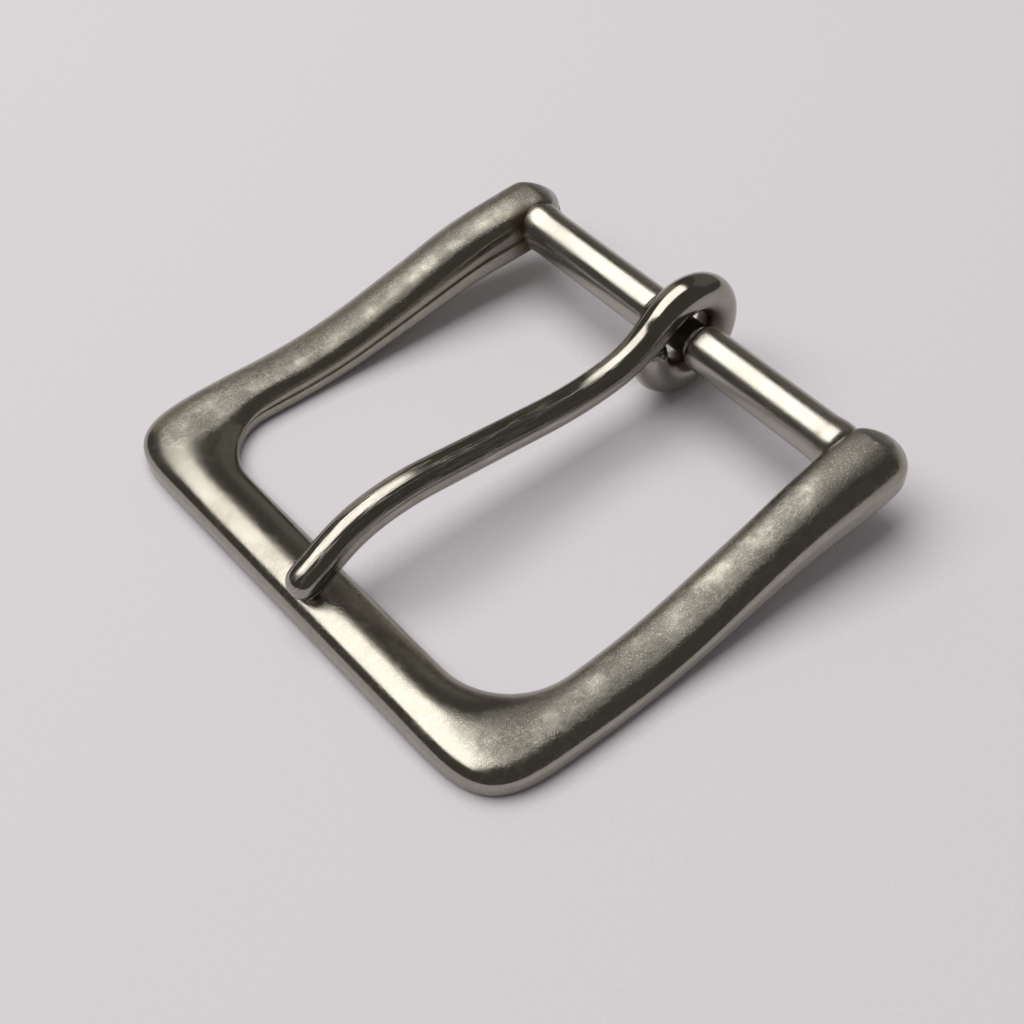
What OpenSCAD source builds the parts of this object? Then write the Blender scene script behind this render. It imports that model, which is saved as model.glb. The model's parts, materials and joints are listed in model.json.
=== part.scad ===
// Single-prong belt buckle for a 40 mm strap: a cast open frame with a domed
// front, a necked round heel bar across its open end, and a bent-wire prong
// that swings on the neck and rests on the front bar.
// X runs along the heel bar, +Y points from the front bar to the heel bar,
// and Z = 0 is the surface that the buckle lies on.

/* [Frame] */
// Clear width between the arms at the heel bar, which takes the strap (mm)
strap_gap = 40.5; // [36:0.5:44]
// Distance from the middle of the front bar to the heel bar's axis (mm)
reach = 43.5; // [40:0.1:46]
// Width of the front bar, seen from above (mm)
front_w = 6.5; // [5.5:0.1:7.5]
// Height of the front bar (mm)
front_h = 3.3; // [3:0.1:4]
// Width of an arm just behind the front corners (mm)
arm_w = 6.1; // [5.5:0.1:7]
// Width of an arm's rounded end at the heel bar (mm)
knuckle_w = 7; // [6.6:0.1:8]
// Height of an arm's rounded end at the heel bar (mm)
knuckle_h = 4.7; // [4.6:0.1:5.5]
// How far each arm's middle line leans in towards the heel, per mm of length
arm_lean = 0.025; // [0:0.005:0.04]
// Radius of the two inner front corners (mm)
inner_corner_r = 6.6; // [5:0.1:8]
// Squareness of the two outer front corners: 2 is round, higher is squarer
corner_squareness = 5; // [2:0.1:6]
// Share of the height that is an upright side wall, under the domed front
wall_share = 0.55; // [0.4:0.05:0.6]
// Width of the narrow ledge between the side walls and the dome (mm)
ledge = 0.2; // [0.1:0.05:0.3]
// Radius of the edges round the flat back (mm)
back_edge_r = 0.6; // [0.3:0.1:0.8]

/* [Bend of the arms] */
// Where the arms start to rise, measured from the front bar (mm)
bend_start = 12; // [8:0.5:18]
// Radius of the bend (mm)
bend_r = 60; // [40:5:90]
// Slope that the arms reach behind the bend (degrees)
bend_slope = 10; // [6:0.5:13]

/* [Heel bar] */
// Diameter of the heel bar (mm)
bar_d = 4.7; // [4:0.1:5]
// Height of the heel bar's axis over the surface (mm)
bar_z = 6.65; // [6.5:0.05:7.5]
// Diameter of the neck that the prong swings on (mm)
neck_d = 3.6; // [3:0.1:4]
// Length of the neck (mm)
neck_length = 5.2; // [4.8:0.1:6]
// How far each end is seated in the frame (mm)
seat_depth = 3; // [2:0.1:3.4]
// Radius of the bead round the bar where it meets each arm (mm)
bead_r = 0.25; // [0.2:0.05:0.5]

/* [Prong] */
// Diameter of the prong's wire at the eye and at the tip (mm)
wire_d = 3.5; // [3:0.05:3.6]
// How much thicker each stretch of the shank is than the one behind it (mm)
wire_step = 0.05; // [0.03:0.01:0.06]
// Radius of the eye, to the middle of the wire (mm)
eye_r = 4.75; // [4.4:0.05:5]
// Angle round the eye at which the tucked-in wire end stops (degrees)
eye_end = 207; // [200:1:230]
// Sideways place of the prong on its neck (mm)
prong_x = 0.6; // [-0.7:0.1:0.7]
// Clearance round the tip where it rests in the front bar's dome (mm)
seat_clearance = 0.1; // [0.05:0.05:0.3]

/* [Hidden] */
$fn = 96;

// ---- frame outline, for the right half and measured from the front bar ----
// Smooth step from 0 at a to 1 at b
function ease(t, a, b) = let (u = max(0, min(1, (t - a) / (b - a)))) u * u * (3 - 2 * u);

knuckle_start = reach - 9;
arm_x = strap_gap / 2 + knuckle_w / 2 + arm_lean * reach;
function arm_middle(y) = arm_x - arm_lean * y;
function arm_half(y) = arm_w / 2 + (knuckle_w - arm_w) / 2 * ease(y, knuckle_start, reach);
function arm_inner(y) = arm_middle(y) - arm_half(y);
function arm_outer(y) = arm_middle(y) + arm_half(y);

// Inner corner arc, and the outer corner as a superellipse about the same centre
corner_y = front_w / 2 + inner_corner_r;
corner_x = arm_inner(corner_y) - inner_corner_r;
outer_a = arm_outer(corner_y) - corner_x;
outer_b = corner_y + front_w / 2;
function outer_reach(f) = pow(
    pow(sin(f) / outer_a, corner_squareness) + pow(cos(f) / outer_b, corner_squareness),
    -1 / corner_squareness);

// ---- heights ----
// Underside: flat, then an arc, then a straight slope
slope_start = bend_start + bend_r * sin(bend_slope);
function rise(y) =
    y < bend_start ? 0 :
    y < slope_start ? bend_r - sqrt(pow(bend_r, 2) - pow(y - bend_start, 2)) :
    bend_r * (1 - cos(bend_slope)) + (y - slope_start) * tan(bend_slope);
// The knuckle grows both up and down, so that it takes in the bar
knuckle_drop = 0.4;
knuckle_y = reach + 0.9;
end_fall = 0.6;
function drop(y) = knuckle_drop * ease(y, knuckle_start, reach);
function height(y) = front_h + (knuckle_h - front_h) * ease(y, slope_start - 6, reach)
    - end_fall * ease(y, reach, reach + 4);

// ---- one cross-section: flat back, rounded edges, upright walls, ledge, domed front ----
edge_steps = 2;
dome_steps = 12;
// Points run from the inner edge to the outer edge: [distance from the inner side, height]
function section(w, h, wall, inset) = let (
        r = min(back_edge_r, 0.45 * w),
        half = w / 2 - inset)
    concat(
        [for (i = [0:edge_steps]) let (a = 90 * i / edge_steps) [r - r * sin(a), r - r * cos(a)]],
        [[0, wall]],
        [for (i = [0:dome_steps]) let (a = 180 * i / dome_steps)
            [w / 2 - half * cos(a), wall + (h - wall) * sin(a)]],
        [[w, wall]],
        [for (i = [edge_steps:-1:0]) let (a = 90 * i / edge_steps)
            [w - r + r * sin(a), r - r * cos(a)]]);

// ---- stations: [inner point, outer point, height, wall height, ledge, lift of the back] ----
front_steps = 6;
corner_steps = 12;
arm_steps = 12;
end_steps = 10;
end_angle = 87;
function station(inner, outer, h, wall, inset, lift) = [inner, outer, h, wall, inset, lift];
front_wall = wall_share * front_h;
front_stations = [for (i = [0:front_steps - 1]) let (x = corner_x * i / front_steps)
    station([x, front_w / 2], [x, -front_w / 2], front_h, front_wall, ledge, 0)];
corner_stations = [for (i = [0:corner_steps]) let (f = 90 * i / corner_steps, o = outer_reach(f))
    station([corner_x + inner_corner_r * sin(f), corner_y - inner_corner_r * cos(f)],
        [corner_x + o * sin(f), corner_y - o * cos(f)], front_h, front_wall, ledge, 0)];
arm_stations = [for (i = [1:arm_steps]) let (y = corner_y + (knuckle_y - corner_y) * i / arm_steps)
    station([arm_inner(y), y], [arm_outer(y), y], height(y), wall_share * height(y), ledge, 0)];
// The rounded end is the same section swept about an upright axis, with the ledge carried round it
end_r = knuckle_w / 2;
thin = 0.02;
end_stations = [for (i = [1:end_steps]) let (
        f = end_angle * i / end_steps,
        y = knuckle_y + end_r * sin(f),
        half = end_r * cos(f),
        x = arm_middle(knuckle_y),
        wall = wall_share * height(y),
        dome_r = end_r - ledge,
        dome_half = sqrt(max(pow(thin, 2), pow(dome_r, 2) - pow(end_r * sin(f), 2))),
        h = wall + (height(y) - wall) * dome_half / dome_r,
        d = min(back_edge_r, end_r * (1 - sin(f))),
        lift = back_edge_r - sqrt(pow(back_edge_r, 2) - pow(back_edge_r - d, 2)))
    station([x - half, y], [x + half, y], h, wall, half - dome_half, lift)];
right_half = concat(front_stations, corner_stations, arm_stations, end_stations);
function mirrored(s) = station([-s[0].x, s[0].y], [-s[1].x, s[1].y], s[2], s[3], s[4], s[5]);
left_half = [for (i = [len(right_half) - 1:-1:1]) mirrored(right_half[i])];
stations = concat(left_half, right_half);

// A section's points in space, with the bend of the arms applied to each point
function ring(s) = let (
        w = norm(s[1] - s[0]),
        dir = (s[1] - s[0]) / w)
    [for (p = section(w, s[2], s[3], s[4])) let (xy = s[0] + dir * p[0])
        [xy.x, xy.y, rise(xy.y) - drop(xy.y) + max(p[1], s[5])]];

// Skin over a row of rings, with each end closed by a fan from the top of its ring
module loft(rings) {
    m = len(rings[0]);
    n = len(rings);
    top = floor(m / 2);
    points = [for (r = rings, p = r) p];
    sides = [for (i = [0:n - 2], j = [0:m - 1]) let (
            a = i * m + j,
            b = i * m + (j + 1) % m)
        each [[a, a + m, b], [b, a + m, b + m]]];
    start_cap = [[for (j = [0:m - 1]) (top + j) % m]];
    end_cap = [[for (j = [0:m - 1]) (n - 1) * m + (top + m - j) % m]];
    polyhedron(points, concat(sides, start_cap, end_cap));
}

// ---- prong path, in the upright plane across the heel bar ----
// Place of the eye's middle, which hangs a little below and behind the neck's axis
eye_y = reach + 0.1;
eye_z = eye_r + wire_d / 2 + 0.05;
// Bends of the shank from the eye to the tip: [radius, slope before, slope after],
// where a negative radius bends down and 0 is a straight [0, length, slope]
lift_off = 45;
shank = [
    [11, lift_off, 7],
    [35, 7, -6],
    [0, 13.75, -6],
    [-22, -6, 10],
    [-12, 10, 31],
    [0, 3.85, 31]];
last = len(shank) - 1;
function shank_d(i) = wire_d - wire_step * (last - i);
// How far each stretch runs on inside the next, so that they join as one
lap = 0.2;

// Middle of the part along Y, which becomes the origin
origin_y = (eye_y + eye_r + wire_d / 2 - front_w / 2) / 2;
half_bar = strap_gap / 2;

// The prong's parts are drawn in a plane whose X is the part's Y and whose Y is its Z
module upright() {
    rotate([90, 0, 90]) children();
}

function arc_middle(p, s) = p + s[0] * [-sin(s[1]), cos(s[1])];
function shank_end(p, s) = s[0] == 0 ?
    p - s[1] * [cos(s[2]), sin(s[2])] :
    arc_middle(p, s) + s[0] * [sin(s[2]), -cos(s[2])];
function shank_start(i) = i == 0 ?
    [eye_y, eye_z] + eye_r * [-sin(lift_off), cos(lift_off)] :
    shank_end(shank_start(i - 1), shank[i - 1]);
tip = shank_start(len(shank));
tip_slope = shank[last][2];

// Wire round part of a circle, between two angles
module wire_arc(r, from, to, d) {
    rotate([0, 0, from]) rotate_extrude(angle = to - from) translate([r, 0]) circle(d = d);
}

// Straight round rod from a point towards the tip, at a slope
module rod_from(p, slope) {
    translate(p) rotate([0, 0, 180 + slope]) rotate([0, 90, 0]) children();
}

// Rod whose far end is domed
module domed_rod(d, h) {
    r = d / 2;
    dome = [for (a = [0:10:90]) [r * cos(a), h + r * sin(a)]];
    rotate_extrude() polygon(concat([[0, 0], [r, 0]], dome));
}

module shank_piece(i) {
    s = shank[i];
    p = shank_start(i);
    if (i == last) {
        rod_from(p, s[2]) domed_rod(shank_d(i), s[1]);
    } else if (s[0] == 0) {
        rod_from(p, s[2]) cylinder(d = shank_d(i), h = s[1] + lap);
    } else {
        side = s[0] > 0 ? -90 : 90;
        end = s[2] - lap / s[0] * 180 / PI;
        translate(arc_middle(p, s))
            wire_arc(abs(s[0]), side + min(s[1], end), side + max(s[1], end), shank_d(i));
    }
}

// Room for the tip in the front bar's dome
module seat() {
    seat_length = 8;
    back = tip + seat_length * [cos(tip_slope), sin(tip_slope)];
    translate([prong_x, 0, 0]) upright()
        rod_from(back, tip_slope) domed_rod(wire_d + 2 * seat_clearance, seat_length);
}

// Half of the turned bar: neck, rounded shoulder, shank, bead and seated end
module half_bar_solid() {
    r = bar_d / 2;
    neck_r = neck_d / 2;
    shoulder = r - neck_r;
    half_profile = concat(
        [[0, 0], [neck_r, 0], [neck_r, neck_length / 2]],
        [for (a = [0:15:90]) [neck_r + shoulder * sin(a), neck_length / 2 + shoulder * (1 - cos(a))]],
        [for (a = [0:15:90]) [r + bead_r - bead_r * cos(a), half_bar - bead_r + bead_r * sin(a)]],
        [for (a = [0:15:90]) [r + bead_r * cos(a), half_bar + bead_r + bead_r * sin(a)]],
        [[r, half_bar + seat_depth], [0, half_bar + seat_depth]]);
    rotate_extrude() polygon(half_profile);
}

module bar_solid() {
    translate([0, reach, bar_z])
        for (side = [-1, 1]) rotate([0, side * 90, 0]) half_bar_solid();
}

module frame() {
    color("#6f6c62") translate([0, -origin_y, 0]) difference() {
        loft([for (s = stations) ring(s)]);
        bar_solid();
        seat();
    }
}

module heel_bar() {
    color("#b9b4a6") translate([0, -origin_y, 0]) bar_solid();
}

module prong() {
    lift_angle = 90 + lift_off + lap / eye_r * 180 / PI;
    color("#5f5c53") translate([prong_x, -origin_y, 0]) upright() {
        translate([eye_y, eye_z]) wire_arc(eye_r, eye_end - 360, lift_angle, wire_d);
        for (i = [0:last]) shank_piece(i);
    }
}

frame();
heel_bar();
prong();
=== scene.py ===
import json
import math

import bmesh
import bpy
from bpy.props import FloatProperty, FloatVectorProperty, IntProperty, PointerProperty
from mathutils import Matrix, Vector


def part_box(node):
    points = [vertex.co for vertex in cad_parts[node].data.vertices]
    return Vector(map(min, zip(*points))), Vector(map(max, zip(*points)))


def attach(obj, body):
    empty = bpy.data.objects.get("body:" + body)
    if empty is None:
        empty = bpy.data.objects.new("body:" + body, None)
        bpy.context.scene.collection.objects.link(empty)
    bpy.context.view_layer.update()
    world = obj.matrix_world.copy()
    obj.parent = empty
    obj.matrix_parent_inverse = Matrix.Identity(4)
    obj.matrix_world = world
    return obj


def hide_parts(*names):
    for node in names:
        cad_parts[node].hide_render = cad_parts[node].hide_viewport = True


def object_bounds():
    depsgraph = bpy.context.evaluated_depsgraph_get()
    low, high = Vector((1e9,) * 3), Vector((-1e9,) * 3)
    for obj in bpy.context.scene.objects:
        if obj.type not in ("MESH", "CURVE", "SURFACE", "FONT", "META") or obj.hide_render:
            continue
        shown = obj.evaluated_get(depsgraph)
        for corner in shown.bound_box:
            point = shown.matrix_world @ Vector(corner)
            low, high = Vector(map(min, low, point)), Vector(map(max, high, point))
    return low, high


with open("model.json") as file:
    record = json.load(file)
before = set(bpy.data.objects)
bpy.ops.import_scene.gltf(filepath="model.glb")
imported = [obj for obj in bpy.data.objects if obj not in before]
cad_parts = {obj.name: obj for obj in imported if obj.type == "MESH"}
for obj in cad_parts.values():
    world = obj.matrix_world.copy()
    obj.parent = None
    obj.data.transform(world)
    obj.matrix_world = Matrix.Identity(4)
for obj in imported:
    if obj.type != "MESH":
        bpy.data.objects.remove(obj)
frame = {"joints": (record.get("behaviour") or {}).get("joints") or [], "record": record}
cad_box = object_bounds()

bl_info = {
    "name": "Heel-bar belt buckle",
    "version": (1, 0, 0),
    "blender": (4, 5, 0),
    "location": "3D View > Sidebar > Buckle",
    "description": "Builds a cast belt buckle with a turned heel bar and a bent-wire prong",
    "category": "Add Mesh",
}

MM = 0.001
WELD = 0.001 * MM

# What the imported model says: the hinge, the strap bar and the front bar's edge
hinge = Vector(frame["joints"][0]["pos_m"])
strap_bar = next(m for m in frame["record"]["mounts"] if m["name"] == "strap_bar")["dims"]
half_gap = strap_bar["length_mm"] * MM / 2
bar_radius = strap_bar["r_mm"] * MM
front_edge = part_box("frame")[0].y
ground = cad_box[0].z


def length(name, default, description):
    """A size in metres that is shown as a distance."""
    return FloatProperty(name=name, description=description, default=default * MM,
                         subtype="DISTANCE", unit="LENGTH", precision=5)


def angle(name, default, description):
    """An angle that is shown in degrees."""
    return FloatProperty(name=name, description=description, default=math.radians(default),
                         subtype="ANGLE", unit="ROTATION")


def share(name, default, description):
    """A plain number with no unit."""
    return FloatProperty(name=name, description=description, default=default)


def colour(name, default, description):
    """A colour picked in the panel."""
    return FloatVectorProperty(name=name, description=description, default=default,
                               subtype="COLOR", size=3, min=0.0, max=1.0)


class CastFrameSizes(bpy.types.PropertyGroup):
    """Sizes of the cast frame."""
    front_width: length("Front bar width", 6.5, "Width of the front bar, seen from above")
    front_height: length("Front bar height", 3.3, "Height of the front bar")
    arm_width: length("Arm width", 6.25, "Width of an arm behind the front corners")
    knuckle_width: length("Knuckle width", 7.0, "Width of an arm's rounded end")
    knuckle_height: length("Knuckle height", 5.35, "Height of an arm's rounded end")
    corner_left: length("Left inner corner", 6.2, "Radius of the left inner corner")
    corner_right: length("Right inner corner", 7.4, "Radius of the right inner corner")
    squareness: share("Outer squareness", 5.2, "Squareness of the outer corners, where 2 is round")
    lean: share("Arm lean", 0.025, "How far the arms lean in, for each metre of length")
    wall_share: share("Wall share", 0.44, "Share of the height that is an upright side wall")
    ledge: length("Ledge", 0.18, "Width of the ledge between wall and dome")
    back_edge: length("Back edge radius", 0.6, "Radius of the edges round the back")
    bend_start: length("Bend start", 12.0, "Where the arms start to rise, from the front bar")
    bend_radius: length("Bend radius", 60.0, "Radius of the bend in the arms")
    bend_slope: angle("Bend slope", 10.0, "Slope of the arms behind the bend")


class HeelBarSizes(bpy.types.PropertyGroup):
    """Sizes of the turned heel bar."""
    neck_radius: length("Neck radius", 1.8, "Radius of the neck that the prong swings on")
    neck_length: length("Neck length", 5.2, "Length of the neck")
    flare: length("End flare", 0.16, "How far the bar widens where it meets an arm")
    seat: length("Seat", 2.4, "How far each end is seated in its arm")
    round_steps: IntProperty(name="Round steps", default=40, min=16,
                             description="Faces round the bar before smoothing")


class ProngSizes(bpy.types.PropertyGroup):
    """Sizes of the bent-wire prong."""
    wire: length("Wire diameter", 3.5, "Diameter of the wire at the eye and at the tip")
    waist: length("Waist diameter", 3.25, "Diameter of the wire just in front of the eye")
    eye_radius: length("Eye radius", 4.75, "Radius of the eye, to the middle of the wire")
    eye_inset: length("Eye inset", 0.15, "How much the wire swells inwards round the eye")
    tail_angle: angle("Tail angle", 165.0, "Angle round the eye where the tucked-in end stops")
    lift_angle: angle("Lift angle", 45.0, "Slope of the wire where it leaves the eye")
    sideways: length("Sideways place", 0.6, "How far the prong lies to the right on its neck")


class FinishColours(bpy.types.PropertyGroup):
    """Colours of the plating, its tarnish and painted shade, and the studio floor."""
    frame_metal: colour("Frame metal", (0.34, 0.325, 0.28), "Antique nickel of the frame")
    bar_metal: colour("Bar metal", (0.385, 0.368, 0.325), "Bright nickel of the heel bar")
    prong_metal: colour("Prong metal", (0.33, 0.315, 0.28), "Dark nickel of the prong")
    # The tarnish colour also serves as painted shade at the dome's foot, round the heel bar's ends
    # and inside the prong's eye
    tarnish: colour("Tarnish", (0.10, 0.07, 0.035), "Brown tarnish in the crevices")
    floor: colour("Floor", (0.74, 0.712, 0.742), "Pale paper under the buckle")


class StudioSettings(bpy.types.PropertyGroup):
    """Light and camera of the stage."""
    key_power: FloatProperty(name="Key light", description="Power of the large soft light",
                             default=12.8, unit="POWER")
    room: share("Room light", 0.10, "Brightness of the dim room round the stage")
    lens: FloatProperty(name="Lens", description="Focal length on a 36 mm sensor",
                        default=62.15, subtype="DISTANCE_CAMERA")


# ---------------------------------------------------------------- shaping helpers

def ease(t, start, end):
    """A smooth step from 0 at start to 1 at end."""
    u = min(1.0, max(0.0, (t - start) / (end - start)))
    return u * u * (3 - 2 * u)


def mix(a, b, t):
    """The value that lies t of the way from a to b."""
    return a + (b - a) * t


def extend(bm, chain, closed=True):
    """Extrudes a row or ring of vertices and returns the new one in the same order."""
    ends = chain[1:] + chain[:1] if closed else chain[1:]
    edges = [bm.edges.get((a, b)) for a, b in zip(chain, ends)]
    made = bmesh.ops.extrude_edge_only(bm, edges=edges)["geom"]
    fresh = {g for g in made if isinstance(g, bmesh.types.BMVert)}
    return [next(e.other_vert(v) for e in v.link_edges if e.other_vert(v) in fresh)
            for v in chain]


def bar_end_places(sides, outwards, forward, heights, radius):
    """(point, radius) of painted shade round the heel bar's ends, from sizes in mm."""
    return [(Vector((side * (half_gap + outwards * MM), hinge.y - forward * MM,
                     hinge.z + height * MM)), radius * MM)
            for side in sides for height in heights]


def finish_piece(bm, name, material, body, node, levels):
    """Closes the mesh, smooths it and hangs it on its CAD body in place of a CAD node."""
    bmesh.ops.remove_doubles(bm, verts=bm.verts, dist=WELD)
    bmesh.ops.recalc_face_normals(bm, faces=bm.faces)
    mesh = bpy.data.meshes.new(name)
    bm.to_mesh(mesh)
    bm.free()
    mesh.polygons.foreach_set("use_smooth", [True] * len(mesh.polygons))
    mesh.materials.append(material)
    piece = bpy.data.objects.new(name, mesh)
    bpy.context.scene.collection.objects.link(piece)
    smooth = piece.modifiers.new("Smooth", "SUBSURF")
    smooth.levels = levels
    smooth.render_levels = levels
    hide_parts(node)
    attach(piece, body)
    return piece


# ---------------------------------------------------------------- shader helpers

# How the effects change the metal: pits and bright spots as shades of its colour, the rest as
# shares of full strength
PIT_SHADE = 0.5
BRIGHT_SHADE = 1.5
LINE_COLOUR = 0.8
LINE_DEPTH = 0.14
PIT_ROUGHNESS = 0.24
LINE_ROUGHNESS = 0.2
TARNISH_ROUGHNESS = 0.3
CLOUD_ROUGHNESS = (0.8, 1.25)
CALM_SCRATCH = 0.08
# Shares of a place's radius: where its painted shade starts to fade, and where scratches are back
SHADE_CORE = 0.45
CALM_FADE = 1.6
RELIEF = {"Strength": 0.8, "Distance": 0.05 * MM}


class Nodes:
    """Adds nodes to a tree and links them in one line each."""

    def __init__(self, tree):
        self.tree = tree

    def add(self, kind, inputs=(), **settings):
        """A new node, with its settings made and its inputs fed."""
        node = self.tree.nodes.new(kind)
        for key, value in settings.items():
            setattr(node, key, value)
        for key, value in dict(inputs).items():
            self.feed(node.inputs[key], value)
        return node

    def feed(self, socket, value):
        """Links a socket, or sets it where the value is a constant."""
        if isinstance(value, bpy.types.NodeSocket):
            self.tree.links.new(value, socket)
        else:
            socket.default_value = value

    def maths(self, operation, a, b=0.0, clamp=False):
        return self.add("ShaderNodeMath", {0: a, 1: b}, operation=operation,
                        use_clamp=clamp).outputs[0]

    def ramp(self, value, low, high, start=0.0, end=1.0):
        """A value from start to end as another goes from low to high."""
        inputs = {"Value": value, "From Min": low, "From Max": high, "To Min": start, "To Max": end}
        return self.add("ShaderNodeMapRange", inputs, interpolation_type="SMOOTHSTEP").outputs[0]

    def noise(self, vector, scale, detail=2.0, roughness=0.5):
        inputs = {"Vector": vector, "Scale": scale, "Detail": detail, "Roughness": roughness}
        return self.add("ShaderNodeTexNoise", inputs).outputs["Fac"]

    def stretch(self, vector, scale):
        return self.add("ShaderNodeMapping", {"Vector": vector, "Scale": scale}).outputs[0]

    def distance(self, vector, point):
        return self.add("ShaderNodeVectorMath", {0: vector, 1: point},
                        operation="DISTANCE").outputs["Value"]

    def attribute(self, name, output="Fac"):
        """A value that the mesh's vertices carry."""
        return self.add("ShaderNodeAttribute", attribute_name=name).outputs[output]

    def blend(self, factor, a, b):
        """Colour a where the factor is 0 and colour b where it is 1."""
        node = self.add("ShaderNodeMix", data_type="RGBA")
        for socket, value in zip((node.inputs[0], node.inputs[6], node.inputs[7]), (factor, a, b)):
            self.feed(socket, value)
        return node.outputs[2]


def shade_of(tint, factor=1.0):
    """A lighter or darker colour, with its alpha."""
    return tuple(min(1.0, c * factor) for c in tint) + (1.0,)


def new_material(name):
    """An empty material, and the helper that adds its nodes."""
    made = bpy.data.materials.new(name)
    made.use_nodes = True
    made.node_tree.nodes.clear()
    return made, Nodes(made.node_tree)


def new_group(name, inputs, outputs):
    """A shader group with float or vector inputs and float outputs."""
    tree = bpy.data.node_groups.new(name, "ShaderNodeTree")
    for socket, kind, default in inputs:
        made = tree.interface.new_socket(socket, in_out="INPUT", socket_type=kind)
        if default is not None:
            made.default_value = default
    for socket in outputs:
        tree.interface.new_socket(socket, in_out="OUTPUT", socket_type="NodeSocketFloat")
    n = Nodes(tree)
    return tree, n, n.add("NodeGroupInput").outputs, n.add("NodeGroupOutput").inputs


def pitted_grain():
    """Fine pits left by casting, with brighter specks between them."""
    tree, n, given, out = new_group(
        "Pitted grain",
        [("Vector", "NodeSocketVector", None), ("Scale", "NodeSocketFloat", 7500.0),
         ("Amount", "NodeSocketFloat", 1.0)],
        ["Height", "Speck", "Rough"])
    fine = n.noise(given["Vector"], given["Scale"], 3.0, 0.7)
    patches = n.noise(given["Vector"], 260.0, 3.0, 0.6)
    where = n.maths("MULTIPLY", given["Amount"], n.ramp(patches, 0.3, 0.62, 0.62, 1.0))
    n.feed(out["Height"], n.maths("MULTIPLY", fine, where))
    n.feed(out["Speck"], n.maths("MULTIPLY", n.ramp(fine, 0.54, 0.68), where))
    n.feed(out["Rough"], n.ramp(where, 0.45, 1.0))
    return tree


def rubbed_scratches():
    """Thin lines where a strap has rubbed the plating, in patches."""
    tree, n, given, out = new_group(
        "Rubbed scratches",
        [("Vector", "NodeSocketVector", None), ("Amount", "NodeSocketFloat", 1.0)],
        ["Line"])
    coarse = n.noise(given["Vector"], 1.0, 3.0, 0.6)
    lines = n.ramp(n.maths("ABSOLUTE", n.maths("SUBTRACT", coarse, 0.5)), 0.0, 0.055, 1.0, 0.0)
    patches = n.noise(given["Vector"], 0.21, 2.0, 0.5)
    patchy = n.maths("MULTIPLY", lines, n.ramp(patches, 0.36, 0.54))
    n.feed(out["Line"], n.maths("MULTIPLY", patchy, given["Amount"]))
    return tree


def tarnish_and_shade():
    """Soft clouds of tarnish, and painted shade in the same colour near given spots."""
    tree, n, given, out = new_group(
        "Tarnish and painted shade",
        [("Vector", "NodeSocketVector", None), ("Everywhere", "NodeSocketFloat", 0.2),
         ("Crevice shade", "NodeSocketFloat", 0.0)],
        ["Mask", "Cloud"])
    cloud = n.noise(given["Vector"], 170.0, 5.0, 0.62)
    n.feed(out["Cloud"], cloud)
    light = n.maths("MULTIPLY", n.ramp(cloud, 0.42, 0.72), given["Everywhere"])
    # Painted shade, laid on in the tarnish colour where shade falls in joints and hollows
    painted_shade = n.maths("MULTIPLY", given["Crevice shade"], n.ramp(cloud, 0.2, 0.6, 0.55, 1.0))
    n.feed(out["Mask"], n.maths("ADD", light, painted_shade, clamp=True))
    return tree


def nickel(name, metal, *, rough, grain, scratch, stretch, tarnish, places=(), crown=False,
           strand=False, calm=None):
    """Plated metal with grain, scratches, tarnish and painted shade.

    places are (point, radius) of spots with painted shade in the tarnish colour. crown keeps
    the grain to the top of a dome and paints shade at its foot. strand makes the scratches
    follow the wire. calm is the (point, radius) of a place with few scratches."""
    groups = shared_groups()
    made, n = new_material(name)
    where = n.add("ShaderNodeTexCoord").outputs["Object"]
    # Painted shade: the tarnish colour grows at the dome's foot and near the given spots, where
    # shade falls
    crevice_shade = n.attribute("crease_shade") if crown else 0.0
    for point, radius in places:
        near = n.ramp(n.distance(where, point), radius * SHADE_CORE, radius, 1.0, 0.0)
        crevice_shade = n.maths("MAXIMUM", crevice_shade, near)
    if crown:
        grain = n.maths("MULTIPLY", n.ramp(n.attribute("crown"), 0.1, 0.9), grain)
    if calm:
        point, radius = calm
        scratch = n.ramp(n.distance(where, point), radius, radius * CALM_FADE, CALM_SCRATCH,
                         scratch)
    along = n.attribute("strand", "Vector") if strand else where

    pits = n.add("ShaderNodeGroup", {"Vector": where, "Amount": grain},
                 node_tree=groups["grain"]).outputs
    lines = n.add("ShaderNodeGroup", {"Vector": n.stretch(along, stretch), "Amount": scratch},
                  node_tree=groups["scratches"]).outputs
    dull = n.add("ShaderNodeGroup", {"Vector": where, "Everywhere": tarnish, "Crevice shade": crevice_shade},
                 node_tree=groups["tarnish"]).outputs

    bright = shade_of(metal, BRIGHT_SHADE)
    base = n.blend(pits["Rough"], shade_of(metal), shade_of(metal, PIT_SHADE))
    base = n.blend(pits["Speck"], base, bright)
    base = n.blend(n.maths("MULTIPLY", lines["Line"], LINE_COLOUR), base, bright)
    # Tarnish in clouds, and painted shade in the same colour
    base = n.blend(dull["Mask"], base, shade_of(bpy.context.scene.buckle_colours.tarnish))

    low, high = (rough * part for part in CLOUD_ROUGHNESS)
    spread = n.ramp(dull["Cloud"], 0.3, 0.7, low, high)
    for mask, part in ((pits["Rough"], PIT_ROUGHNESS), (lines["Line"], LINE_ROUGHNESS),
                       (dull["Mask"], TARNISH_ROUGHNESS)):
        spread = n.maths("ADD", spread, n.maths("MULTIPLY", mask, part), clamp=True)

    height = n.maths("SUBTRACT", pits["Height"], n.maths("MULTIPLY", lines["Line"], LINE_DEPTH))
    relief = n.add("ShaderNodeBump", {"Height": height, **RELIEF})
    shader = n.add("ShaderNodeBsdfPrincipled", {
        "Base Color": base, "Roughness": spread, "Normal": relief.outputs["Normal"],
        "Metallic": 1.0})
    output = n.add("ShaderNodeOutputMaterial", {"Surface": shader.outputs[0]})
    output.is_active_output = True
    return made


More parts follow.
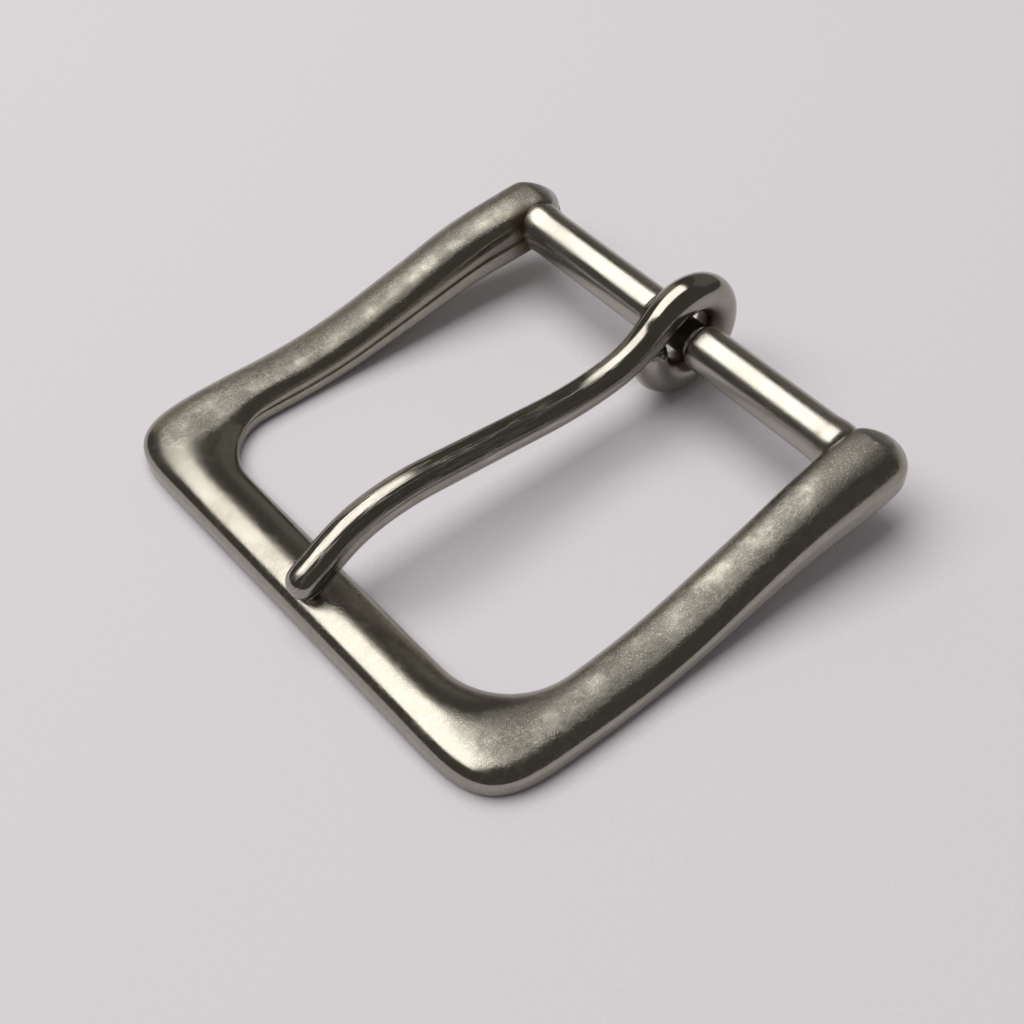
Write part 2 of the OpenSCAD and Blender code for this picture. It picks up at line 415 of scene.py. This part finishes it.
def shared_groups():
    """The effects that the three finishes share, built once."""
    found = bpy.data.node_groups
    makers = {"grain": ("Pitted grain", pitted_grain),
              "scratches": ("Rubbed scratches", rubbed_scratches),
              "tarnish": ("Tarnish and painted shade", tarnish_and_shade)}
    return {key: found.get(name) or make() for key, (name, make) in makers.items()}


# ---------------------------------------------------------------- the cast frame

class FrameShape:
    """Outline, heights and cross-section of the cast frame.

    y is measured from the front bar's middle. The section is drawn as high as the front bar,
    and lift() gives it its true height."""
    # The section: angles round the back's edge and over the dome, in degrees
    edge_angles = (0, 30, 60, 90)
    dome_angles = (4, 12, 22, 34, 46, 58, 70, 80)
    # The ledge at the dome's foot: share of its width, which also sets its painted shade, and mm of
    # height
    ledge_steps = ((0.0, -0.25), (0.15, -0.06), (0.6, 0.0), (1.0, 0.02))
    # Painted shade on the dome's lowest ring, next to the ledge
    foot_shade = 0.35
    # Fullness of the dome, where 2 is an ellipse
    front_fullness, arm_fullness = 1.6, 2.0
    knuckle_fullness_in, knuckle_fullness_out = 3.2, 1.8
    # How far the dome's ridge lies outside the middle of the section (mm)
    front_ridge, arm_ridge = 0.75, -0.55
    # Where the front bar's section begins and ends its change into an arm's
    front_stop, arm_begin = 4 * MM, 13 * MM
    # The knuckle: length of its growth, its middle behind the bar, growth of its inner side
    knuckle_run = 9 * MM
    knuckle_past = 0.9 * MM
    inner_growth = 0.15
    # How much sooner its outer side, height and section start to change, and its outer side stops
    outer_lead, height_lead, section_lead = 6 * MM, 6 * MM, 2 * MM
    outer_stop = 2 * MM
    # How far the knuckle hangs under the arm's slope, and how far its end falls, over what run
    knuckle_sag = 0.4 * MM
    knuckle_fall, fall_run = 1.5 * MM, 4 * MM
    # How far each arm hooks inwards at its knuckle (mm)
    left_hook, right_hook = 0.45, -0.2
    # Rings along half of the front bar, round a corner and along an arm
    bar_steps, corner_steps, arm_steps = 7, 12, 16

    def __init__(self, sizes):
        self.s = sizes
        self.middle_y = front_edge + sizes.front_width / 2
        self.reach = hinge.y - self.middle_y
        self.knuckle_start = self.reach - self.knuckle_run
        self.knuckle_y = self.reach + self.knuckle_past
        self.arm_x = half_gap + sizes.knuckle_width / 2 + sizes.lean * self.reach
        self.slope_y = sizes.bend_start + sizes.bend_radius * math.sin(sizes.bend_slope)

    def arm_middle(self, y):
        return self.arm_x - self.s.lean * y

    def arm_half(self, y, inner=False):
        """Half the width; the inner side grows less towards the knuckle than the outer."""
        if inner:
            grown = self.inner_growth * ease(y, self.knuckle_start, self.reach)
        else:
            grown = ease(y, self.knuckle_start - self.outer_lead, self.reach - self.outer_stop)
        return mix(self.s.arm_width, self.s.knuckle_width, grown) / 2

    def base(self, y):
        """Height of the underside."""
        radius, slope = self.s.bend_radius, self.s.bend_slope
        if y < self.s.bend_start:
            rise = 0.0
        elif y < self.slope_y:
            rise = radius - math.sqrt(radius ** 2 - (y - self.s.bend_start) ** 2)
        else:
            rise = radius * (1 - math.cos(slope)) + (y - self.slope_y) * math.tan(slope)
        return rise - self.knuckle_sag * ease(y, self.knuckle_start, self.reach)

    def height(self, y):
        """Height from the underside to the ridge."""
        grown = ease(y, self.slope_y - self.height_lead, self.reach)
        fall = self.knuckle_fall * ease(y, self.reach, self.reach + self.fall_run)
        return mix(self.s.front_height, self.s.knuckle_height, grown) - fall

    def half_section(self, half, fullness, ledge):
        """[(distance from the ridge, height, crown, painted shade)] from the back's middle to the
        top.
        """
        edge, top = self.s.back_edge, self.s.front_height
        wall = self.s.wall_share * top
        row = [(0.0, 0.0, 0, 0), ((half - edge) * 0.6, 0.0, 0, 0)]
        for a in map(math.radians, self.edge_angles):
            row.append((half - edge + edge * math.sin(a), edge - edge * math.cos(a), 0, 0))
        # Painted shade only on a side with a ledge
        ledge_shade = 1.0 if ledge else 0.0
        row += [(half - part * ledge, wall + up * MM, 0, part * ledge_shade)
                for part, up in self.ledge_steps]
        for degrees in self.dome_angles:
            a = math.radians(degrees)
            out = (half - ledge) * math.cos(a) ** (2 / fullness)
            up = wall + (top - wall) * math.sin(a) ** (2 / fullness)
            crease_shade = self.foot_shade * ledge_shade if degrees == self.dome_angles[0] else 0
            row.append((out, up, math.sin(a) ** 2, crease_shade))
        row.append((0.0, top, 1, 0))
        return row

    def front_share(self, y):
        """1 on the front bar, 0 on the arms."""
        return 1 - ease(y, self.front_stop, self.arm_begin)

    def sections(self, half, y):
        """(ridge's shift outwards, inner half, outer half) of the section at y."""
        front = self.front_share(y)
        grown = ease(y, self.knuckle_start - self.section_lead, self.reach)
        shift = mix(mix(self.arm_ridge, self.front_ridge, front), 0.0, grown) * MM
        inner_fullness = mix(mix(self.arm_fullness, self.front_fullness, front),
                             self.knuckle_fullness_in, grown)
        outer_fullness = mix(self.arm_fullness, self.knuckle_fullness_out, grown)
        inner_ledge = self.s.ledge * (1 - front)
        return (shift, self.half_section(half + shift, inner_fullness, inner_ledge),
                self.half_section(half - shift, outer_fullness, 0.0))

    def stations(self, side, corner):
        """(inner point, outer point) down one half, from the front bar's middle to the knuckle."""
        width = self.s.front_width
        corner_y = width / 2 + corner
        corner_x = self.arm_middle(corner_y) - self.arm_half(corner_y) - corner
        reach_x = self.arm_middle(corner_y) + self.arm_half(corner_y) - corner_x
        reach_y = corner_y + width / 2
        power = self.s.squareness
        row = []
        for t in range(self.bar_steps):
            x = corner_x * t / self.bar_steps
            row.append(((x, width / 2), (x, -width / 2)))
        for t in range(self.corner_steps + 1):
            a = math.radians(90 * t / self.corner_steps)
            sin, cos = math.sin(a), math.cos(a)
            out = ((sin / reach_x) ** power + (cos / reach_y) ** power) ** (-1 / power)
            row.append(((corner_x + corner * sin, corner_y - corner * cos),
                        (corner_x + out * sin, corner_y - out * cos)))
        hook = (self.left_hook if side < 0 else self.right_hook) * MM
        for t in range(1, self.arm_steps + 1):
            y = mix(corner_y, self.knuckle_y, t / self.arm_steps)
            middle = self.arm_middle(y) - hook * ease(y, self.knuckle_start, self.reach)
            row.append(((middle - self.arm_half(y, inner=True), y),
                        (middle + self.arm_half(y), y)))
        return [(Vector((side * a[0], a[1])), Vector((side * b[0], b[1]))) for a, b in row]

    def lift(self, verts):
        """Lays the flat casting over the bend of the arms, and moves it to its place."""
        for v in verts:
            y = v.co.y
            v.co.z = ground + self.base(y) + v.co.z * self.height(y) / self.s.front_height
            v.co.y = y + self.middle_y


class MESH_OT_buckle_frame(bpy.types.Operator):
    """Sweep the domed section round the frame and round off both arm ends"""
    bl_idname = "mesh.buckle_frame"
    bl_label = "Cast Frame"
    bl_options = {"REGISTER", "UNDO"}
    end_steps = 14
    # The front bar is rubbed smoother than the corners and arms: its share of the grain, and
    # between which places of the inner side the grain comes back
    rubbed_grain = 0.5
    rub_stop, grain_start = 3.4 * MM, 6 * MM

    def execute(self, context):
        sizes = context.scene.buckle_frame
        shape = FrameShape(sizes)
        bm = bmesh.new()
        # Vertex marks: the dome's top, for grain, and painted shade at its foot
        marks = [bm.verts.layers.float.new("crown"), bm.verts.layers.float.new("crease_shade")]
        left = shape.stations(-1, sizes.corner_left)
        right = shape.stations(1, sizes.corner_right)
        stations = left[:0:-1] + right
        rings = [None]
        for inner, outer in stations:
            rings.append(self.place(bm, rings[-1], shape, marks, inner, outer))
        self.round_end(bm, rings[1], shape, marks, *stations[0])
        self.round_end(bm, rings[-1], shape, marks, *stations[-1])
        shape.lift(bm.verts)
        # Painted shade where the heel bar runs into the knuckles
        places = bar_end_places(sides=(-1, 1), outwards=-0.2, forward=1.7, heights=(-0.6, 1.3),
                                radius=2.6)
        material = nickel("Antique nickel", context.scene.buckle_colours.frame_metal, rough=0.15,
                          grain=1.0, scratch=0.35, stretch=(900.0, 500.0, 900.0), tarnish=0.16,
                          places=places, crown=True)
        finish_piece(bm, "cast_frame", material, "buckle_frame", "frame", 2)
        return {"FINISHED"}

    def place(self, bm, ring, shape, marks, inner, outer):
        """Adds one ring across the casting, from its inner to its outer point."""
        half = (outer - inner).length / 2
        shift, inside, outside = shape.sections(half, inner.y)
        if ring is None:
            count = len(inside) + len(outside) - 2
            ring = bmesh.ops.create_circle(bm, segments=count, radius=half)["verts"]
        else:
            ring = extend(bm, ring)
        across = (outer - inner).normalized()
        middle = (inner + outer) / 2 + across * shift
        points = [(-p[0], *p[1:]) for p in inside] + outside[-2:0:-1]
        worn = mix(self.rubbed_grain, 1.0, ease(inner.y, self.rub_stop, self.grain_start))
        for v, (out, up, crown, crease_shade) in zip(ring, points):
            v.co = (middle + across * out).to_3d() + Vector((0, 0, up))
            v[marks[0]], v[marks[1]] = crown * worn, crease_shade
        return ring

    def round_end(self, bm, ring, shape, marks, inner, outer):
        """Turns the section about an upright line, from the outer side round to the inner."""
        middle = (inner + outer) / 2
        side = 1 if middle.x > 0 else -1
        _, inside, outside = shape.sections((outer - inner).length / 2, inner.y)
        chain = ring[:1] + ring[:len(inside) - 2:-1]
        for step in range(1, self.end_steps + 1):
            chain = extend(bm, chain, closed=False)
            turn = math.pi * step / self.end_steps
            facing = Vector((side * math.cos(turn), math.sin(turn)))
            blend = ease(step / self.end_steps, 0.0, 1.0)
            for v, a, b in zip(chain, outside, inside):
                out, up = mix(a[0], b[0], blend), mix(a[1], b[1], blend)
                v.co = (middle + facing * out).to_3d() + Vector((0, 0, up))
                for mark, value in zip(marks, a[2:]):
                    v[mark] = value


# ---------------------------------------------------------------- the heel bar

class MESH_OT_buckle_bar(bpy.types.Operator):
    """Turn the heel bar with its neck, shoulders and flared ends"""
    bl_idname = "mesh.buckle_bar"
    bl_label = "Heel Bar"
    bl_options = {"REGISTER", "UNDO"}
    # mm past the neck's end, and the share of the way from the neck up to the bar
    shoulder = ((0.12, 0.12), (0.3, 0.55), (0.5, 0.9), (0.85, 1.0), (1.4, 1.0))
    # mm in front of the arm, and the share of the flare
    flare = ((1.9, 0.0), (1.2, 0.15), (0.7, 0.5), (0.2, 0.9), (-0.4, 1.0), (-0.9, 0.6),
             (-1.4, -1.0))
    # The plain stretch between them starts and stops this far from the neck and the arm
    plain_inset, plain_steps = 3 * MM, 3
    end_bevel = 1.0 * MM

    def execute(self, context):
        sizes = context.scene.buckle_bar
        r, neck, half_neck = bar_radius, sizes.neck_radius, sizes.neck_length / 2
        half = [(0.0, neck), (half_neck * 0.6, neck), (half_neck - 0.15 * MM, neck + 0.01 * MM)]
        half += [(half_neck + past * MM, mix(neck, r, grown)) for past, grown in self.shoulder]
        start, stop = half_neck + self.plain_inset, half_gap - self.plain_inset
        half += [(mix(start, stop, t / self.plain_steps), r)
                 for t in range(self.plain_steps + 1)]
        half += [(half_gap - back * MM, r + sizes.flare * grown) for back, grown in self.flare]
        end = half_gap + sizes.seat
        half += [(end, r - self.end_bevel), (end, 0.0)]
        profile = [(-x, rr) for x, rr in half[:0:-1]] + half
        bm = bmesh.new()
        row = [bm.verts.new((x, 0.0, rr)) for x, rr in profile]
        edges = [bm.edges.new(pair) for pair in zip(row, row[1:])]
        bmesh.ops.spin(bm, geom=row + edges, cent=(0, 0, 0), axis=(1, 0, 0), dvec=(0, 0, 0),
                       angle=math.tau, steps=sizes.round_steps,
                       use_merge=True, use_duplicate=False)
        bmesh.ops.translate(bm, verts=bm.verts, vec=(0, hinge.y, hinge.z))
        # Painted shadow on the bar's left end, cast by the left knuckle, and painted shade round
        # the neck inside the prong's eye
        places = bar_end_places(sides=(-1,), outwards=0.3, forward=1.6, heights=(-1.4, 1.0),
                                radius=1.3)
        places.append((hinge, 3.7 * MM))
        material = nickel("Bright nickel", context.scene.buckle_colours.bar_metal, rough=0.19,
                          grain=0.35, scratch=0.2, stretch=(120.0, 1500.0, 1500.0),
                          tarnish=0.1, places=places)
        finish_piece(bm, "heel_bar_turned", material, "buckle_frame", "heel_bar", 1)
        return {"FINISHED"}


# ---------------------------------------------------------------- the prong

# Bends of the wire from the eye to the tip: radius and degrees of turn, or length and no turn
SHANK = ((11 * MM, -38), (35 * MM, -13), (13.75 * MM, 0), (22 * MM, 16), (12 * MM, 21),
         (3.85 * MM, 0))


def heading_vector(heading):
    """The way a heading points, in the plane that the wire is bent in."""
    return Vector((math.cos(heading), math.sin(heading)))


def walk(point, heading, bends, step):
    """[(point, heading, distance gone)] along a wire that is bent in one plane."""
    trail, gone = [(point, heading, 0.0)], 0.0
    for size, degrees in bends:
        turn = math.radians(degrees)
        run = size * abs(turn) if turn else size
        count = max(1, round(run / step))
        part = turn / count
        chord = 2 * size * math.sin(abs(part) / 2) if turn else run / count
        for _ in range(count):
            point = point + heading_vector(heading + part / 2) * chord
            heading += part
            gone += run / count
            trail.append((point, heading, gone))
    return trail


class MESH_OT_buckle_prong(bpy.types.Operator):
    """Bend the prong from one wire, from its tucked-in tail round the eye to the tip"""
    bl_idname = "mesh.buckle_prong"
    bl_label = "Prong"
    bl_options = {"REGISTER", "UNDO"}
    # The cut tail, a flat face with a rounded rim: mm along the wire, share of its thickness
    tail = ((0.0, 0.0), (0.0, 0.55), (0.0, 0.84), (0.12, 0.95))
    # The tip, a dome a little flatter than half a ball
    tip_angles = (20, 38, 54, 68, 80, 90)
    tip_share = 0.97
    row_step = 1.1 * MM
    round_steps = 24
    # How far the eye's middle lies behind the neck's, and how far the eye clears the surface
    eye_back, eye_clearance = 0.1 * MM, 0.05 * MM
    # Past the eye's end: where the wire starts to thin, has thinned, and starts to thicken
    thin_start, thin_stop, thick_start = -2 * MM, 5 * MM, 8 * MM

    def execute(self, context):
        sizes = context.scene.buckle_prong
        wire, radius = sizes.wire / 2, sizes.eye_radius
        middle = Vector((hinge.y + self.eye_back, ground + radius + wire + self.eye_clearance))
        start = sizes.tail_angle - math.tau
        around = math.degrees(math.pi / 2 + sizes.lift_angle - start)
        trail = walk(middle + heading_vector(start) * radius, start + math.pi / 2,
                     ((radius, around),) + SHANK, self.row_step)
        eye_run = radius * math.radians(around)
        end = trail[-1][2]
        rows = []
        for point, heading, gone in trail:
            thin = ease(gone, eye_run + self.thin_start, eye_run + self.thin_stop)
            back = ease(gone, eye_run + self.thick_start, end)
            snug = sizes.eye_inset * (1 - thin)
            rows.append((point + heading_vector(heading + math.pi / 2) * snug, heading,
                         mix(wire, sizes.waist / 2, thin * (1 - back)) + snug, gone))
        point, heading = rows[0][:2]
        rows[:1] = [(point + heading_vector(heading) * ahead * MM, heading, wire * part,
                     ahead * MM) for ahead, part in self.tail]
        point, heading = rows[-1][:2]
        for a in map(math.radians, self.tip_angles):
            ahead = wire * self.tip_share * math.sin(a)
            rows.append((point + heading_vector(heading) * ahead, heading, wire * math.cos(a),
                         end + ahead))
        bm = bmesh.new()
        strand = bm.verts.layers.float_vector.new("strand")
        ring = bmesh.ops.create_circle(bm, segments=self.round_steps, radius=wire)["verts"]
        for i, row in enumerate(rows):
            if i:
                ring = extend(bm, ring)
            self.lay_ring(ring, strand, sizes.sideways, *row)
        # Painted shade on the inside of the eye, which also has few scratches
        inside_eye = Vector((sizes.sideways, middle.x, middle.y))
        material = nickel("Dark nickel", context.scene.buckle_colours.prong_metal, rough=0.085,
                          grain=0.14, scratch=0.9, stretch=(90.0, 1500.0, 1500.0), tarnish=0.2,
                          places=[(inside_eye, 5.2 * MM)], strand=True,
                          calm=(inside_eye, 7 * MM))
        finish_piece(bm, "prong_bent", material, "buckle_prong", "prong", 2)
        return {"FINISHED"}

    def lay_ring(self, ring, strand, sideways, point, heading, thick, gone):
        """Lays one ring round the wire, and notes on it how far along the wire it is."""
        normal = heading_vector(heading + math.pi / 2)
        for i, v in enumerate(ring):
            a = math.tau * i / len(ring)
            side, up = thick * math.cos(a), thick * math.sin(a)
            v.co = (sideways + side, point.x + normal.x * up, point.y + normal.y * up)
            v[strand] = (gone, side, up)


# ---------------------------------------------------------------- the stage

FLOOR_HALF = 0.7
FLOOR_GAP = 0.01 * MM
FIBRE_SCALE = 2600.0
# The room: its tint in reflections, its light on dull surfaces, and its look behind the floor
ROOM_TINT = (1.0, 0.95, 0.83)
ROOM_FILL = (0.18, 0.177, 0.18)
ROOM_BACKDROP = (0.68, 0.665, 0.675)
# Name, place, aim, width and depth in metres, share of the key light's power, colour
LIGHTS = (
    ("key", (-0.40, -0.16, 1.02), (-0.05, -0.02, 0.0), (0.98, 1.4), 1.0, (1.0, 0.985, 0.965)),
    ("wall", (-0.4, 1.5, 0.6), (0.0, 0.0, 0.2), (2.4, 1.2), 0.07, (1.0, 0.96, 0.86)),
    ("side", (-1.7, 0.3, 0.55), (0.0, 0.0, 0.2), (1.6, 0.9), 0.1, (1.0, 0.9, 0.76)),
)
# The camera: its aim from the middle of the buckle's back, its distance and its degrees of turn
CAMERA_AIM = (5.15 * MM, -5.18 * MM, 3.0 * MM)
CAMERA_DISTANCE = 160.06 * MM
CAMERA_AZIMUTH, CAMERA_ELEVATION, CAMERA_ROLL = 51.232, 48.402, -1.397


class SCENE_OT_buckle_stage(bpy.types.Operator):
    """Lay a pale floor and set the soft lights, the dim room and the camera"""
    bl_idname = "scene.buckle_stage"
    bl_label = "Studio Stage"
    bl_options = {"REGISTER", "UNDO"}

    def execute(self, context):
        self.floor(context)
        self.room(context)
        self.lights(context)
        self.camera(context)
        context.scene.view_settings.view_transform = "Standard"
        return {"FINISHED"}

    def floor(self, context):
        """A sheet of pale paper with a faint fibre."""
        bm = bmesh.new()
        bmesh.ops.create_grid(bm, x_segments=2, y_segments=2, size=FLOOR_HALF)
        bmesh.ops.translate(bm, verts=bm.verts, vec=(0, 0, ground - FLOOR_GAP))
        mesh = bpy.data.meshes.new("floor")
        bm.to_mesh(mesh)
        bm.free()
        made, n = new_material("Pale paper")
        where = n.add("ShaderNodeTexCoord").outputs["Object"]
        fibre = n.noise(where, FIBRE_SCALE, 4.0, 0.7)
        pale = context.scene.buckle_colours.floor
        shade = n.blend(n.ramp(fibre, 0.3, 0.7), shade_of(pale, 0.98), shade_of(pale, 1.015))
        relief = n.add("ShaderNodeBump",
                       {"Height": fibre, "Strength": 0.22, "Distance": 0.04 * MM})
        shader = n.add("ShaderNodeBsdfPrincipled", {
            "Base Color": shade, "Roughness": 0.85, "Normal": relief.outputs["Normal"]})
        n.add("ShaderNodeOutputMaterial", {"Surface": shader.outputs[0]})
        mesh.materials.append(made)
        floor = bpy.data.objects.new("floor", mesh)
        context.scene.collection.objects.link(floor)

    def room(self, context):
        """A dim warm room, which looks pale behind the floor."""
        world = bpy.data.worlds.new("Room")
        world.use_nodes = True
        n = Nodes(world.node_tree)
        n.tree.nodes.clear()
        path = n.add("ShaderNodeLightPath").outputs
        dim = shade_of(ROOM_TINT, context.scene.buckle_studio.room)
        shade = n.blend(path["Is Diffuse Ray"], dim, shade_of(ROOM_FILL))
        shade = n.blend(path["Is Camera Ray"], shade, shade_of(ROOM_BACKDROP))
        back = n.add("ShaderNodeBackground", {"Color": shade})
        n.add("ShaderNodeOutputWorld", {"Surface": back.outputs[0]})
        context.scene.world = world

    def lights(self, context):
        """One large soft light, and two weak ones behind and beside the buckle."""
        for name, place, aim, size, part, tint in LIGHTS:
            data = bpy.data.lights.new(name, "AREA")
            data.shape = "RECTANGLE"
            data.size, data.size_y = size
            data.energy = context.scene.buckle_studio.key_power * part
            data.color = tint
            lamp = bpy.data.objects.new(name, data)
            back = (Vector(place) - Vector(aim)).normalized()
            side = Vector((0, 1, 0)).cross(back).normalized()
            turn = Matrix((side, back.cross(side), back)).transposed()
            lamp.matrix_world = Matrix.Translation(place) @ turn.to_4x4()
            context.scene.collection.objects.link(lamp)

    def camera(self, context):
        """Looks down at the buckle from in front and to its right."""
        centre = (cad_box[0] + cad_box[1]) / 2
        aim = Vector((centre.x, centre.y, ground)) + Vector(CAMERA_AIM)
        azimuth, elevation, roll = map(
            math.radians, (CAMERA_AZIMUTH, CAMERA_ELEVATION, CAMERA_ROLL))
        back = Vector((math.sin(azimuth) * math.cos(elevation),
                       -math.cos(azimuth) * math.cos(elevation), math.sin(elevation)))
        right = (-back).cross(Vector((0, 0, 1))).normalized()
        up = right.cross(-back)
        x_axis = right * math.cos(roll) + up * math.sin(roll)
        y_axis = up * math.cos(roll) - right * math.sin(roll)
        data = bpy.data.cameras.new("camera")
        data.lens = context.scene.buckle_studio.lens
        data.sensor_width = 36.0
        data.clip_start = 0.01
        data.dof.use_dof = False
        view = bpy.data.objects.new("camera", data)
        turn = Matrix((x_axis, y_axis, back)).transposed()
        view.matrix_world = Matrix.Translation(aim + back * CAMERA_DISTANCE) @ turn.to_4x4()
        context.scene.collection.objects.link(view)
        context.scene.camera = view


class VIEW3D_PT_buckle(bpy.types.Panel):
    """Lists the buckle's pieces, sizes and colours"""
    bl_label = "Belt Buckle"
    bl_idname = "VIEW3D_PT_buckle"
    bl_space_type = "VIEW_3D"
    bl_region_type = "UI"
    bl_category = "Buckle"

    def draw(self, context):
        for operator, group in STEPS:
            box = self.layout.box()
            box.operator(operator)
            settings = getattr(context.scene, group)
            for name in settings.__annotations__:
                box.prop(settings, name)
        box = self.layout.box()
        for name in FinishColours.__annotations__:
            box.prop(context.scene.buckle_colours, name)


STEPS = (("scene.buckle_stage", "buckle_studio"), ("mesh.buckle_frame", "buckle_frame"),
         ("mesh.buckle_bar", "buckle_bar"), ("mesh.buckle_prong", "buckle_prong"))
GROUPS = {"buckle_frame": CastFrameSizes, "buckle_bar": HeelBarSizes, "buckle_prong": ProngSizes,
          "buckle_colours": FinishColours, "buckle_studio": StudioSettings}
CLASSES = (*GROUPS.values(), MESH_OT_buckle_frame, MESH_OT_buckle_bar, MESH_OT_buckle_prong,
           SCENE_OT_buckle_stage, VIEW3D_PT_buckle)


def register():
    for cls in CLASSES:
        bpy.utils.register_class(cls)
    for name, group in GROUPS.items():
        setattr(bpy.types.Scene, name, PointerProperty(type=group))


def unregister():
    for name in GROUPS:
        delattr(bpy.types.Scene, name)
    for cls in reversed(CLASSES):
        bpy.utils.unregister_class(cls)


def main():
    register()
    bpy.ops.scene.buckle_stage()
    bpy.ops.mesh.buckle_frame()
    bpy.ops.mesh.buckle_bar()
    bpy.ops.mesh.buckle_prong()


if __name__ == "__main__":
    main()
